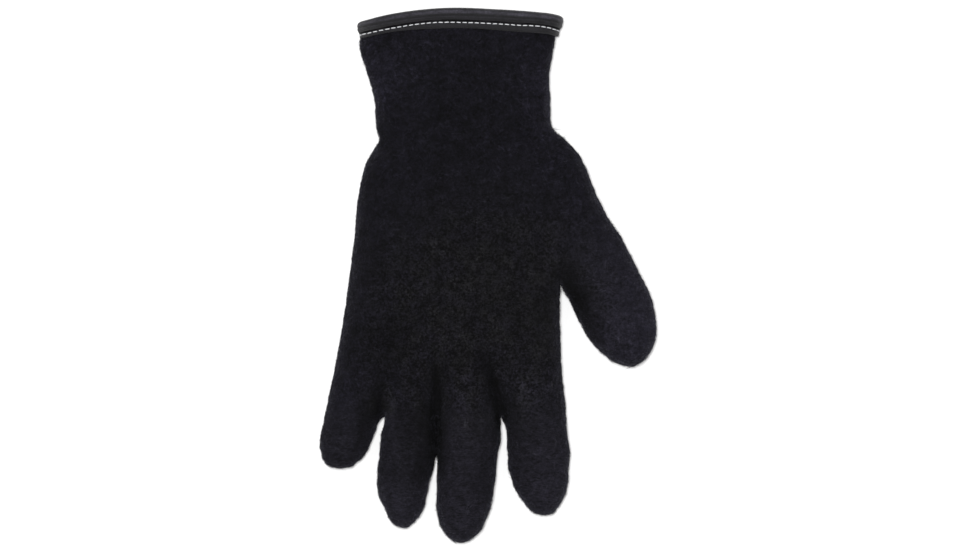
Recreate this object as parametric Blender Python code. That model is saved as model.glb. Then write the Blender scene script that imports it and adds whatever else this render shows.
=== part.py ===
"""Work glove lying back up on a table: a knitted shell and the tape that binds its cuff.

Metres, +Z up. The fingers point to -Y, the cuff to +Y and the thumb to +X. The origin is on the table,
under the middle of the glove's box.
"""

import math
from collections import namedtuple

import bpy
import numpy as np

# Lengths along the glove
CUFF_LENGTH = 0.0620  # from the shell's edge to the wrist
HAND_LENGTH = 0.1355  # from the wrist to the webs between the fingers
THUMB_LENGTH = 0.0560  # from the thumb's root to its tip, along the glove
LITTLE_LENGTH = 0.0243  # from the webs to the tip, and so for the other fingers
RING_LENGTH = 0.0532
MIDDLE_LENGTH = 0.0604
INDEX_LENGTH = 0.0473

# Widths, as the glove lies
CUFF_WIDTH = 0.0960
WRIST_WIDTH = 0.0855
LITTLE_WIDTH = 0.0272
RING_WIDTH = 0.0267
MIDDLE_WIDTH = 0.0322
INDEX_WIDTH = 0.0311
THUMB_WIDTH = 0.0365
FINGER_GAP = 0.0004  # between two fingers that lie against each other

# Heights above the table
PALM_HEIGHT = 0.0310
FINGER_HEIGHT = 0.0215
THUMB_HEIGHT = 0.0240

# Fabric and tape
WALL = 0.0028  # the brushed knit
TAPE = 0.0010  # thickness of the binding tape
TAPE_WIDTH = 0.0092  # how far the tape reaches down the outside of the cuff
STITCH_DOWN = 0.0060  # how far from the shell's edge the tape is sewn
ROLL = 0.0009  # how far the folded tape swells between its edge and its stitches
ROLL_DOWN = 0.0036  # how far from the shell's edge that swelling reaches
CLEARANCE = 0.0003  # between tape and fabric

# How the soft form lies
PRESS = 0.0030  # the underside is flattened by this much
WEB_DEPTH = 0.0030  # how far a web's nose stands out between the finger roots
BOW_LITTLE_SIDE = 0.0070  # the cuff's edge is an arc: how far its two ends lie back
BOW_THUMB_SIDE = 0.0037
HELD_OFF = 0.0110  # how much of the cuff is held off the table by the tape below it
SETTLE = 0.0250  # over how much more of the cuff it comes down to the table
CROWN = 0.16  # how much lower the hand is at its edges than in its middle, as a share
GROOVE_POWER = 2.0  # how narrow the grooves between the finger roots are: 1 is a wave
EDGE_ROUND = 0.13  # the reach of its rounded edges, as a share of its width
FINGER_BLEND = 0.4  # the share of a finger over which the hand's height becomes the finger's
THUMB_BLEND = 0.5  # the share of the thumb over which its columns become evenly spaced

# The grid that the form is laid out on
COLUMNS = 4  # faces across the top of each finger
SIDES = 3  # points down each side, between the top and bottom ones
FOLD_FACES = 6  # faces round the fold of the tape
CUFF_RINGS = [-1.0, -0.92, -0.84, -0.72, -0.58, -0.44, -0.30, -0.18, -0.08]
THUMB_RINGS = [0.0, 0.045, 0.10, 0.18, 0.28, 0.40, 0.53]  # the thumb leaves the hand along these
KNUCKLE_RINGS = [0.62, 0.70, 0.78, 0.85, 0.91, 0.96, 1.0]
FINGER_RINGS = [0.10, 0.22, 0.35, 0.48, 0.61, 0.73, 0.83, 0.91, 0.965]
THUMB_TUBE_RINGS = [0.08, 0.16, 0.25, 0.34, 0.44, 0.54, 0.64, 0.73, 0.81, 0.88, 0.94, 0.98]

Finger = namedtuple("Finger", "name width length height tip_starts")
FINGERS = [
    Finger("little", LITTLE_WIDTH, LITTLE_LENGTH, 0.92 * FINGER_HEIGHT, 0.36),
    Finger("ring", RING_WIDTH, RING_LENGTH, 0.97 * FINGER_HEIGHT, 0.50),
    Finger("middle", MIDDLE_WIDTH, MIDDLE_LENGTH, 1.04 * FINGER_HEIGHT, 0.62),
    Finger("index", INDEX_WIDTH, INDEX_LENGTH, 1.00 * FINGER_HEIGHT, 0.48),
]
KNUCKLE_WIDTH = sum(finger.width for finger in FINGERS)
TIP_POWER = 2.45  # how square a finger's tip is: 2 is an ellipse

# The cuff and hand, a row for each section. along is -1 at the edge, 0 at the wrist and 1 at the webs.
# The little finger's edge and the thumb's edge are shares of the width that the row follows,
# height is a share of PALM_HEIGHT, and valley is how deep the grooves between the fingers are.
Section = namedtuple("Section", "along width little_edge thumb_edge height valley")
SLEEVE = [
    Section(-1.00, CUFF_WIDTH, 0.518, 0.466, 0.58, 0.0),
    Section(-0.75, CUFF_WIDTH, 0.522, 0.446, 0.63, 0.0),
    Section(-0.50, CUFF_WIDTH, 0.482, 0.426, 0.70, 0.0),
    Section(-0.25, WRIST_WIDTH, 0.505, 0.485, 0.78, 0.0),
    Section(-0.08, WRIST_WIDTH, 0.502, 0.506, 0.80, 0.0),
    Section(0.00, WRIST_WIDTH, 0.492, 0.545, 0.80, 0.0),
    Section(0.045, WRIST_WIDTH, 0.534, 0.540, 0.83, 0.0),
    Section(0.10, WRIST_WIDTH, 0.573, 0.535, 0.89, 0.0),
    Section(0.18, WRIST_WIDTH, 0.605, 0.530, 0.95, 0.0),
    Section(0.28, WRIST_WIDTH, 0.618, 0.528, 0.99, 0.0),
    Section(0.40, KNUCKLE_WIDTH, 0.466, 0.388, 1.00, 0.0),
    Section(0.53, KNUCKLE_WIDTH, 0.482, 0.394, 0.99, 0.03),
    Section(0.70, KNUCKLE_WIDTH, 0.512, 0.390, 0.95, 0.14),
    Section(0.85, KNUCKLE_WIDTH, 0.548, 0.398, 0.88, 0.34),
    Section(1.00, KNUCKLE_WIDTH, 0.581, 0.417, 0.80, 0.60),
]

# The fingers, a row for each section. along is a share of the finger's length. The sides are how far
# the edges lie inside the finger's place in the hand, as shares of its width.
Outline = namedtuple("Outline", "along little_side thumb_side")
FINGER_OUTLINES = {
    "little": [
        Outline(0.00, 0.000, 0.000),
        Outline(0.16, -0.025, 0.070),
        Outline(0.32, -0.065, 0.128),
        Outline(0.48, -0.085, 0.190),
        Outline(0.64, -0.100, 0.235),
        Outline(1.00, -0.080, 0.370),
    ],
    "ring": [
        Outline(0.00, 0.000, 0.000),
        Outline(0.20, -0.020, 0.000),
        Outline(0.40, -0.060, 0.020),
        Outline(0.52, -0.090, 0.070),
        Outline(0.66, -0.100, 0.135),
        Outline(0.80, -0.060, 0.150),
        Outline(1.00, 0.020, 0.200),
    ],
    "middle": [
        Outline(0.00, 0.000, 0.000),
        Outline(0.20, 0.000, 0.040),
        Outline(0.40, 0.000, 0.090),
        Outline(0.60, 0.005, 0.140),
        Outline(0.80, 0.000, 0.185),
        Outline(1.00, 0.000, 0.260),
    ],
    "index": [
        Outline(0.00, 0.000, 0.000),
        Outline(0.10, 0.040, -0.005),
        Outline(0.25, 0.062, -0.020),
        Outline(0.41, 0.078, -0.040),
        Outline(0.58, 0.105, -0.040),
        Outline(0.72, 0.145, -0.050),
        Outline(1.00, 0.270, 0.000),
    ],
}

# The thumb, a row for each chord from its web's edge to its outer edge. The columns are shares of
# THUMB_WIDTH out from the web, of THUMB_LENGTH down from it towards the tip, and of THUMB_HEIGHT.
Chord = namedtuple("Chord", "along inner_out inner_down outer_out outer_down height")
THUMB = [
    Chord(0.00, 0.00, 0.00, 0.03, -1.32, 1.02),
    Chord(0.16, 0.02, 0.02, 0.30, -1.08, 1.05),
    Chord(0.25, 0.04, 0.04, 0.44, -0.84, 1.06),
    Chord(0.34, 0.07, 0.08, 0.65, -0.56, 1.05),
    Chord(0.48, 0.15, 0.19, 0.97, -0.20, 1.03),
    Chord(0.64, 0.31, 0.40, 1.21, 0.13, 1.00),
    Chord(0.78, 0.50, 0.58, 1.28, 0.40, 0.94),
    Chord(0.89, 0.70, 0.68, 1.20, 0.61, 0.80),
    Chord(1.00, 0.92, 0.71, 0.98, 0.71, 0.30),
]

# Dents in the upper side: where along the hand and across it they lie, their reach as shares of
# HAND_LENGTH and of the section's width, and their depth as a share of PALM_HEIGHT.
Dent = namedtuple("Dent", "name along across reach_along reach_across depth")
DENTS = [
    Dent("hollow of the hand", 0.52, 0.55, 0.17, 0.17, 0.07),
    Dent("crease beside the thumb", 0.40, 0.93, 0.14, 0.06, 0.10),
    Dent("fold at the wrist, little side", 0.02, 0.10, 0.035, 0.12, 0.06),
    Dent("fold at the wrist, thumb side", 0.00, 0.88, 0.035, 0.12, 0.06),
    Dent("sag of the cuff", -0.30, 0.52, 0.13, 0.26, 0.05),
]

SHELL_COLOUR = (0.011, 0.0105, 0.0145, 1.0)
SHELL_ROUGHNESS = 0.95
TAPE_COLOUR = (0.030, 0.030, 0.034, 1.0)
TAPE_ROUGHNESS = 0.7

LAST_COLUMN = COLUMNS * len(FINGERS)
CORNER = math.pi / 4  # the angle at which a section's top ends and its side starts


def clear_scene():
    for obj in list(bpy.data.objects):
        bpy.data.objects.remove(obj)


def material(name, colour, roughness):
    made = bpy.data.materials.new(name)
    made.use_nodes = True
    shader = made.node_tree.nodes["Principled BSDF"]
    shader.inputs["Base Color"].default_value = colour
    shader.inputs["Roughness"].default_value = roughness
    shader.inputs["Metallic"].default_value = 0.0
    return made


def smooth_through(x, y, at):
    """y at this place along x: a cubic through the points that never overshoots them."""
    step, slope = np.diff(x), np.diff(y) / np.diff(x)
    tangent = np.concatenate([slope[:1], np.zeros(len(x) - 2), slope[-1:]])
    for i in range(1, len(x) - 1):
        if slope[i - 1] * slope[i] > 0:
            tangent[i] = 2 * slope[i - 1] * slope[i] / (slope[i - 1] + slope[i])
    i = min(max(int(np.searchsorted(x, at)) - 1, 0), len(x) - 2)
    u = (at - x[i]) / step[i]
    return float(
        y[i] * (1 + 2 * u) * (1 - u) ** 2
        + tangent[i] * step[i] * u * (1 - u) ** 2
        + y[i + 1] * u * u * (3 - 2 * u)
        + tangent[i + 1] * step[i] * u * u * (u - 1)
    )


def read(rows, column, along):
    """A table's column at this place along it."""
    return smooth_through(
        np.array([row.along for row in rows]),
        np.array([getattr(row, column) for row in rows]),
        along,
    )


def hand_edge(column, along):
    """How far an edge of the cuff or hand lies from the glove's middle line."""
    return smooth_through(
        np.array([row.along for row in SLEEVE]),
        np.array([getattr(row, column) * row.width for row in SLEEVE]),
        along,
    )


def ease(u):
    u = min(max(u, 0.0), 1.0)
    return u * u * (3 - 2 * u)


def mix(a, b, share):
    return a + (b - a) * share


def y_of(along):
    """The wrist is at y = 0, and the last ring lies behind the webs' noses."""
    return -along * (CUFF_LENGTH if along < 0 else HAND_LENGTH - WEB_DEPTH)


class Grid:
    """Points, and faces between rings of them that turn outwards."""

    def __init__(self):
        self.points = []
        self.faces = []

    def ring(self, points):
        first = len(self.points)
        self.points.extend(points)
        return list(range(first, len(self.points)))

    def band(self, ring, following, skip=()):
        """Faces between two rings of as many points, but for those in skip."""
        count = len(ring)
        for i in range(count):
            if i not in skip:
                j = (i + 1) % count
                self.faces.append((ring[i], following[i], following[j], ring[j]))

    def close(self, ring, point):
        """A fan of faces from the last ring to the tip."""
        (tip,) = self.ring([point])
        for i in range(len(ring)):
            self.faces.append((ring[i], tip, ring[(i + 1) % len(ring)]))


def round_off(inset, reach):
    """Level of a section this far in from an edge that is rounded over this reach."""
    return math.sqrt(1 - max(0.0, 1 - inset / reach) ** 2) if reach > 0 else 1.0


def section(width, reach, shares, opened=0.0):
    """(distance across, level) of the points of a closed section, level from 1 on top to -1 below.

    It runs over the top, down the far side, back below and up the near side. shares are where its
    top points lie. opened is how far its far side is open to what leaves it there, instead of round.
    """
    far_reach = reach * (1 - opened)
    near, far = (r * (1 - math.cos(CORNER)) for r in (reach, far_reach))
    top = []
    for share in shares:
        distance = near + (width - near - far) * share
        far_level = mix(round_off(width - distance, far_reach), 1.0, opened)
        top.append((distance, round_off(distance, reach) * far_level))
    angles = [CORNER * (1 - 2 * (step + 1) / (SIDES + 1)) for step in range(SIDES)]
    far_side = [(width - far_reach * (1 - math.cos(a)), math.sin(a)) for a in angles]
    near_side = [(reach * (1 - math.cos(a)), -math.sin(a)) for a in angles]
    below = [(distance, -level) for distance, level in reversed(top)]
    return top + far_side + below + near_side


def resting(middle, half, level):
    """Height of a point at this level of a section that is flattened where it meets the table."""
    return max(middle + half * level, 0.0)


def column_shares():
    """Where the columns lie across the hand, from the little finger's edge to the thumb's."""
    shares = [0.0]
    for finger in FINGERS:
        start = shares[-1]
        for step in range(1, COLUMNS + 1):
            shares.append(start + finger.width / KNUCKLE_WIDTH * step / COLUMNS)
    return shares


def grooves():
    """For each point of a ring: 1 on the line of a web, 0 in a finger's middle and at the hand's edges."""
    top = []
    for column in range(LAST_COLUMN + 1):
        outer = column <= COLUMNS // 2 or column >= LAST_COLUMN - COLUMNS // 2
        wave = 0.5 * (1 + math.cos(2 * math.pi * column / COLUMNS))
        top.append(0.0 if outer else wave**GROOVE_POWER)
    return top + [0.0] * SIDES + top[::-1] + [0.0] * SIDES


def dented(y, z, across):
    """z of a point of the upper side, lowered by the dents near it."""
    for dent in DENTS:
        down = (y - y_of(dent.along)) / (dent.reach_along * HAND_LENGTH)
        aside = (across - dent.across) / dent.reach_across
        z -= dent.depth * PALM_HEIGHT * math.exp(-down * down - aside * aside)
    return z


def tape_lift(along):
    """How far the cuff is held off the table by the tape below it."""
    down = (along + 1) * CUFF_LENGTH
    return (CLEARANCE + TAPE + ROLL) * (1 - ease((down - HELD_OFF) / SETTLE))


def sleeve_ring(along):
    """One section of the cuff or hand, from its little finger's side to its thumb's and back below."""
    low, high = -hand_edge("little_edge", along), hand_edge("thumb_edge", along)
    width = high - low
    half = (read(SLEEVE, "height", along) * PALM_HEIGHT + PRESS) / 2
    valley = read(SLEEVE, "valley", along)
    opened = math.sqrt(max(math.sin(math.pi * min(max(along / THUMB_RINGS[-1], 0.0), 1.0)), 0.0))
    ring = []
    outline = section(width, EDGE_ROUND * width, column_shares(), opened)
    for (distance, level), groove in zip(outline, grooves()):
        across = distance / width
        aside = 2 * across - 1
        bow = min(along, 0.0) ** 2 * (BOW_LITTLE_SIDE if aside < 0 else BOW_THUMB_SIDE)
        x, y = low + distance, y_of(along) - bow * aside * aside
        crowned = half * (1 - CROWN * aside * aside)
        z = resting(crowned - PRESS, crowned, level * (1 - valley * groove))
        if level > 0:
            z = mix(z, dented(y, z, across), level)
        ring.append((x, y, z + tape_lift(along)))
    return ring


def tube_ring(start, end, middle, half, shares):
    """One section of a finger or the thumb, over the line from start to end in plan."""
    start, end = np.array(start), np.array(end)
    length = float(np.linalg.norm(end - start))
    reach = min(length, THUMB_WIDTH) / 2
    ring = []
    for distance, level in section(length, reach, shares):
        x, y = start + (end - start) * distance / length
        ring.append((float(x), float(y), resting(middle, half, level)))
    return ring


def add_finger(grid, finger, left, root, gap_left, gap_right):
    """A finger from its root, a ring of points that the hand has, to its tip."""
    rows = FINGER_OUTLINES[finger.name]
    root_height = max(grid.points[point][2] for point in root)
    shares = [step / COLUMNS for step in range(COLUMNS + 1)]
    web_y = -HAND_LENGTH
    ring = root
    for along in FINGER_RINGS + [1.0]:
        start = left + finger.width * read(rows, "little_side", along) + gap_left / 2
        end = left + finger.width * (1 - read(rows, "thumb_side", along)) - gap_right / 2
        tip = max(along - finger.tip_starts, 0.0) / (1 - finger.tip_starts)
        keep = (1 - tip**TIP_POWER) ** (1 / TIP_POWER)
        height = mix(root_height, finger.height, ease(along / FINGER_BLEND))
        centre, middle = (start + end) / 2, (height - PRESS) / 2
        y = web_y - along * finger.length
        if keep == 0:
            grid.close(ring, (centre, y, middle))
            return
        reach = (end - start) / 2 * keep
        points = tube_ring(
            (centre - reach, y), (centre + reach, y), middle, (height + PRESS) / 2 * keep, shares
        )
        following = grid.ring(points)
        grid.band(ring, following)
        ring = following


def add_fingers(grid, last_ring):
    """The webs' noses between the finger roots, then the fingers."""
    top = last_ring[: LAST_COLUMN + 1]
    far_side = last_ring[LAST_COLUMN + 1 : LAST_COLUMN + 1 + SIDES]
    below = last_ring[LAST_COLUMN + 1 + SIDES : 2 * (LAST_COLUMN + 1) + SIDES][::-1]
    near_side = last_ring[2 * (LAST_COLUMN + 1) + SIDES :][::-1]
    seams = [near_side]
    for web in range(1, len(FINGERS)):
        upper = np.array(grid.points[top[web * COLUMNS]])
        lower = np.array(grid.points[below[web * COLUMNS]])
        nose = []
        for step in range(1, SIDES + 1):
            share = step / (SIDES + 1)
            x, y, z = mix(upper, lower, share)
            nose.append((x, y - WEB_DEPTH * math.sin(math.pi * share), z))
        seams.append(grid.ring(nose))
    seams.append(far_side)
    left = -hand_edge("little_edge", 1.0)
    for number, finger in enumerate(FINGERS):
        columns = slice(number * COLUMNS, (number + 1) * COLUMNS + 1)
        root = top[columns] + seams[number + 1] + below[columns][::-1] + seams[number][::-1]
        gap_left = FINGER_GAP if number > 0 else 0.0
        gap_right = FINGER_GAP if number < len(FINGERS) - 1 else 0.0
        add_finger(grid, finger, left, root, gap_left, gap_right)
        left += finger.width


def add_thumb(grid, rings):
    """The thumb, from the opening that the hand's rings leave for it."""
    corner = LAST_COLUMN + 1 + SIDES
    top = [ring[LAST_COLUMN] for ring in reversed(rings)]
    below = [ring[corner] for ring in rings]
    root = top + rings[0][LAST_COLUMN + 1 : corner] + below + rings[-1][LAST_COLUMN + 1 : corner][::-1]
    web = np.array([hand_edge("thumb_edge", THUMB_RINGS[-1]), y_of(THUMB_RINGS[-1])])
    root_shares = [1 - along / THUMB_RINGS[-1] for along in reversed(THUMB_RINGS)]
    even_shares = [step / (len(THUMB_RINGS) - 1) for step in range(len(THUMB_RINGS))]
    middle = (THUMB_HEIGHT - PRESS) / 2

    def end_of_chord(side, along):
        out = read(THUMB, side + "_out", along) * THUMB_WIDTH
        down = read(THUMB, side + "_down", along) * THUMB_LENGTH
        return web + np.array([out, -down])

    ring = root
    for along in THUMB_TUBE_RINGS:
        half = (read(THUMB, "height", along) * THUMB_HEIGHT + PRESS) / 2
        shares = [mix(a, b, ease(along / THUMB_BLEND)) for a, b in zip(root_shares, even_shares)]
        inner, outer = end_of_chord("inner", along), end_of_chord("outer", along)
        following = grid.ring(tube_ring(inner, outer, middle, half, shares))
        grid.band(ring, following)
        ring = following
    tip = (end_of_chord("inner", 1.0) + end_of_chord("outer", 1.0)) / 2
    grid.close(ring, (float(tip[0]), float(tip[1]), middle))


def shell_grid():
    """The outer surface of the whole knitted shell, open at the cuff."""
    grid = Grid()
    alongs = CUFF_RINGS + THUMB_RINGS + KNUCKLE_RINGS
    rings = [grid.ring(sleeve_ring(along)) for along in alongs]
    thumb_first = len(CUFF_RINGS)
    thumb_last = thumb_first + len(THUMB_RINGS) - 1
    thumb_faces = range(LAST_COLUMN, LAST_COLUMN + SIDES + 1)
    for i, (ring, following) in enumerate(zip(rings, rings[1:])):
        grid.band(ring, following, thumb_faces if thumb_first <= i < thumb_last else ())
    add_thumb(grid, rings[thumb_first : thumb_last + 1])
    add_fingers(grid, rings[-1])
    return grid


def unit(vectors):
    return vectors / np.linalg.norm(vectors, axis=1)[:, None]


def cuff_points(down, out):
    """A ring this far down from the shell's edge, and this far out from the faces of its surface."""
    share = -1 + max(down, 0.0) / CUFF_LENGTH
    ring, lower = np.array(sleeve_ring(share)), np.array(sleeve_ring(share + TAPE / CUFF_LENGTH))
    slope = unit(lower - ring)
    after = unit(np.cross(slope, np.roll(ring, -1, axis=0) - ring))
    before = np.roll(after, 1, axis=0)
    normal = unit(before + after)
    even = out / np.sum(normal * after, axis=1)[:, None]
    points = ring + normal * even - slope * max(-down, 0.0)
    return [tuple(map(float, point)) for point in points]


def tape_grid():
    """The tape, folded over the edge: its profile swept round the cuff."""
    inside = -WALL - CLEARANCE
    swell = TAPE + ROLL
    middle = -WALL / 2
    profile = [(TAPE_WIDTH, CLEARANCE), (TAPE_WIDTH, CLEARANCE + TAPE)]
    profile += [(STITCH_DOWN, CLEARANCE + TAPE), (ROLL_DOWN, CLEARANCE + swell)]
    fold = middle - inside + swell
    for step in range(FOLD_FACES + 1):
        angle = math.pi * step / FOLD_FACES
        profile.append((-CLEARANCE - swell * math.sin(angle), middle + fold * math.cos(angle)))
    profile += [(ROLL_DOWN, inside - swell), (STITCH_DOWN, inside - TAPE)]
    profile += [(TAPE_WIDTH, inside - TAPE), (TAPE_WIDTH, inside)]
    profile += [(-CLEARANCE, inside), (-CLEARANCE, CLEARANCE)]
    grid = Grid()
    rings = [grid.ring(cuff_points(down, out)) for down, out in profile]
    for ring, following in zip(rings, rings[1:] + rings[:1]):
        grid.band(following, ring)
    return grid


def add_piece(name, grid, middle, finish):
    mesh = bpy.data.meshes.new(name)
    mesh.from_pydata([tuple(np.array(point) - middle) for point in grid.points], [], grid.faces)
    mesh.materials.append(finish)
    mesh.shade_smooth()
    piece = bpy.data.objects.new(name, mesh)
    bpy.context.scene.collection.objects.link(piece)
    return piece


def build():
    clear_scene()
    shell, tape = shell_grid(), tape_grid()
    points = np.array(shell.points + tape.points)
    middle = (points.min(axis=0) + points.max(axis=0)) / 2
    middle[2] = 0.0
    knit = add_piece("knit_shell", shell, middle, material("brushed_knit", SHELL_COLOUR, SHELL_ROUGHNESS))
    wall = knit.modifiers.new("wall", "SOLIDIFY")
    wall.thickness = WALL
    wall.offset = -1.0
    add_piece("cuff_binding", tape, middle, material("binding_tape", TAPE_COLOUR, TAPE_ROUGHNESS))


build()
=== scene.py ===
"""Looks of the work glove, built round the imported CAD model: the brushed knit with its nap, the binding
tape round the cuff and the white stitches that hold it. Metres, in the CAD's own frame."""

import math

import bmesh
import bpy
import numpy as np
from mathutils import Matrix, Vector, noise
from mathutils.bvhtree import BVHTree


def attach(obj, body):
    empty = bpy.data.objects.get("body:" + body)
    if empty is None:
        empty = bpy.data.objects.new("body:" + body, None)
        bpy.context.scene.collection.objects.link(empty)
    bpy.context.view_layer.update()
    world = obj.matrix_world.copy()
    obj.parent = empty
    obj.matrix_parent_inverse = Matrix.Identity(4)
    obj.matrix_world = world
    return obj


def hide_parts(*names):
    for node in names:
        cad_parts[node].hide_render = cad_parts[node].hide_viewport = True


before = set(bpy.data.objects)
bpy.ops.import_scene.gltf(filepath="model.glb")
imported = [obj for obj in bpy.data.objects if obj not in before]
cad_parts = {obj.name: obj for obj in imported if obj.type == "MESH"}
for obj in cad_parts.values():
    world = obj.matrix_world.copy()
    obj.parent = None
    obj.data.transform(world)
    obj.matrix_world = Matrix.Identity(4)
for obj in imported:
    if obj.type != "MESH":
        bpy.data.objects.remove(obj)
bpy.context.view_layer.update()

MM = 0.001
SEED = 20261130

# The camera looks straight down, and the photograph's frame is this wide on the table
FRAME_WIDTH = 0.4753
CAMERA_HEIGHT = 3.2
CAMERA_SHIFT = 0.2 * MM  # from the middle of the glove, as in the photograph
SILHOUETTE_HEIGHT = 0.011  # the outline that the camera sees lies about this high
SENSOR = 36.0
FLOOR_Z = -0.2 * MM

# The cuff: what the tape folds over, as in the CAD model
WALL = 2.8 * MM
CLEARANCE = 0.3 * MM
TAPE = 1.0 * MM
TAPE_WIDTH = 9.2 * MM
STITCH_DOWN = 6.0 * MM
ROLL = 0.9 * MM

# The stitches, and what the tape has besides
STITCH_PITCH = 2.98 * MM
STITCH_LENGTH = 2.25 * MM
THREAD = 0.23 * MM  # the sewing thread's radius
PINCH = 0.22 * MM  # how far the tape is drawn in at the stitches
INNER_ROLL = 0.6 * ROLL  # the fold swells less inside the cuff
CUFF_STEPS = 600  # points round the tape

# The knit's rim in the CAD model: its faces look up the cuff at least this much, beyond this y
RIM_SLOPE = 0.6
RIM_Y = 112 * MM

# Near the table and below the cuff, the smoothed cloth may stand off the CAD shell by so much, and by this
# share of its height
TABLE_ZONE = 6 * MM
CUFF_ZONE = 110 * MM
STAND_OFF = 0.4 * MM
STAND_OFF_SHARE = 0.5
CORRECTION = 0.9  # the share of a miss that each round of fitting takes back

UNDERSIDE = 0.3 * MM  # the knit's own surface lies this high where its nap rests on the table
NAP_UNDERSIDE = 0.02 * MM  # and its fibres at least this high

# Where the parts of the glove begin that the pieces of nap lie on
THUMB_X = 34 * MM
CUFF_Y = 55 * MM
FINGERS_Y = -60 * MM
TAPE_Y = 121.5 * MM  # the nap ends below the tape
LONG_NAP_Y = 117 * MM  # and its long fibres before it


def new_object(name, mesh, material, smooth=True):
    mesh.materials.clear()
    mesh.materials.append(material)
    if smooth:
        mesh.shade_smooth()
    piece = bpy.data.objects.new(name, mesh)
    bpy.context.scene.collection.objects.link(piece)
    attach(piece, "root")
    return piece


def mesh_from(name, points, faces):
    mesh = bpy.data.meshes.new(name)
    mesh.from_pydata([tuple(map(float, point)) for point in points], [], faces)
    mesh.update()
    return mesh


def coordinates(mesh):
    flat = np.zeros(len(mesh.vertices) * 3)
    mesh.vertices.foreach_get("co", flat)
    return flat.reshape(-1, 3)


def normals_of(mesh):
    flat = np.zeros(len(mesh.vertices) * 3)
    mesh.vertex_normals.foreach_get("vector", flat)
    return flat.reshape(-1, 3)


def set_coordinates(mesh, points):
    mesh.vertices.foreach_set("co", np.ascontiguousarray(points).reshape(-1))
    mesh.update()


def unit(vectors):
    return vectors / np.maximum(np.linalg.norm(vectors, axis=-1, keepdims=True), 1e-12)


def shell_sides():
    """The CAD shell's outside and inside as two open meshes of four-sided faces, without the cuff's rim."""
    bm = bmesh.new()
    bm.from_mesh(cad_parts["knit_shell"].data)
    bmesh.ops.remove_doubles(bm, verts=bm.verts, dist=0.01 * MM)
    bmesh.ops.join_triangles(
        bm,
        faces=bm.faces,
        angle_face_threshold=math.radians(50),
        angle_shape_threshold=math.radians(70),
    )
    bm.normal_update()
    rim = [face for face in bm.faces if face.normal.y > RIM_SLOPE and face.calc_center_median().y > RIM_Y]
    bmesh.ops.delete(bm, geom=rim, context="FACES")
    bm.faces.ensure_lookup_table()
    bm.faces.index_update()
    left = set(bm.faces)
    sides = []
    while left:
        start = left.pop()
        side, edge = [start], [start]
        while edge:
            face = edge.pop()
            for border in face.edges:
                for other in border.link_faces:
                    if other in left:
                        left.remove(other)
                        side.append(other)
                        edge.append(other)
        sides.append(side)
    sides.sort(key=lambda side: -sum(face.calc_area() for face in side))
    meshes = []
    for number, side in enumerate(sides[:2]):
        index = {}
        points, faces = [], []
        for face in sorted(side, key=lambda f: f.index):
            for vert in face.verts:
                if vert not in index:
                    index[vert] = len(points)
                    points.append(tuple(vert.co))
            faces.append([index[vert] for vert in face.verts])
        meshes.append(mesh_from("side%d" % number, points, faces))
    bm.free()
    return meshes


def fitted(mesh, rounds):
    """Moves the mesh's points so that its smoothed surface passes through where they were."""
    wanted = coordinates(mesh)
    for _ in range(rounds):
        smooth = subdivided(mesh, 2)
        reached = coordinates(smooth)[: len(wanted)]
        set_coordinates(mesh, coordinates(mesh) + CORRECTION * (wanted - reached))
        bpy.data.meshes.remove(smooth)


def subdivided(mesh, levels):
    holder = bpy.data.objects.new("holder", mesh)
    bpy.context.scene.collection.objects.link(holder)
    modifier = holder.modifiers.new("smooth", "SUBSURF")
    modifier.levels = modifier.render_levels = levels
    evaluated = holder.evaluated_get(bpy.context.evaluated_depsgraph_get())
    made = bpy.data.meshes.new_from_object(evaluated)
    bpy.data.objects.remove(holder)
    return made


def settled(mesh, shell):
    """Brings the smoothed cloth back to the shell where it overshoots near the table."""
    points = coordinates(mesh)
    low = (points[:, 2] < TABLE_ZONE) & (points[:, 1] < CUFF_ZONE)
    for index in np.flatnonzero(low):
        place = Vector(points[index])
        on_shell, _, _, gap = shell.find_nearest(place)
        allowed = STAND_OFF + STAND_OFF_SHARE * max(place.z, 0.0)
        if gap > allowed:
            points[index] = on_shell + (place - on_shell) * (allowed / gap)
    set_coordinates(mesh, points)


def noise_at(points, size, seed, basis="PERLIN_ORIGINAL"):
    """Noise at these points, with lumps of this size."""
    shift = Vector((seed * 13.7, seed * 7.9, seed * 3.1))
    scale = 1 / size
    return np.array([noise.noise(Vector(point) * scale + shift, noise_basis=basis) for point in points])


def bell(points, centre, reach):
    """1 at the centre, fading over this reach in x and y."""
    away = (points[:, :2] - np.array(centre) * MM) / (np.array(reach) * MM)
    return np.exp(-np.sum(away * away, axis=1))


def ease(x):
    x = np.clip(x, 0.0, 1.0)
    return x * x * (3 - 2 * x)


NAP = 0.62  # the nap stands this far out from the cloth, in mm, so the cloth lies as far inside

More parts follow.
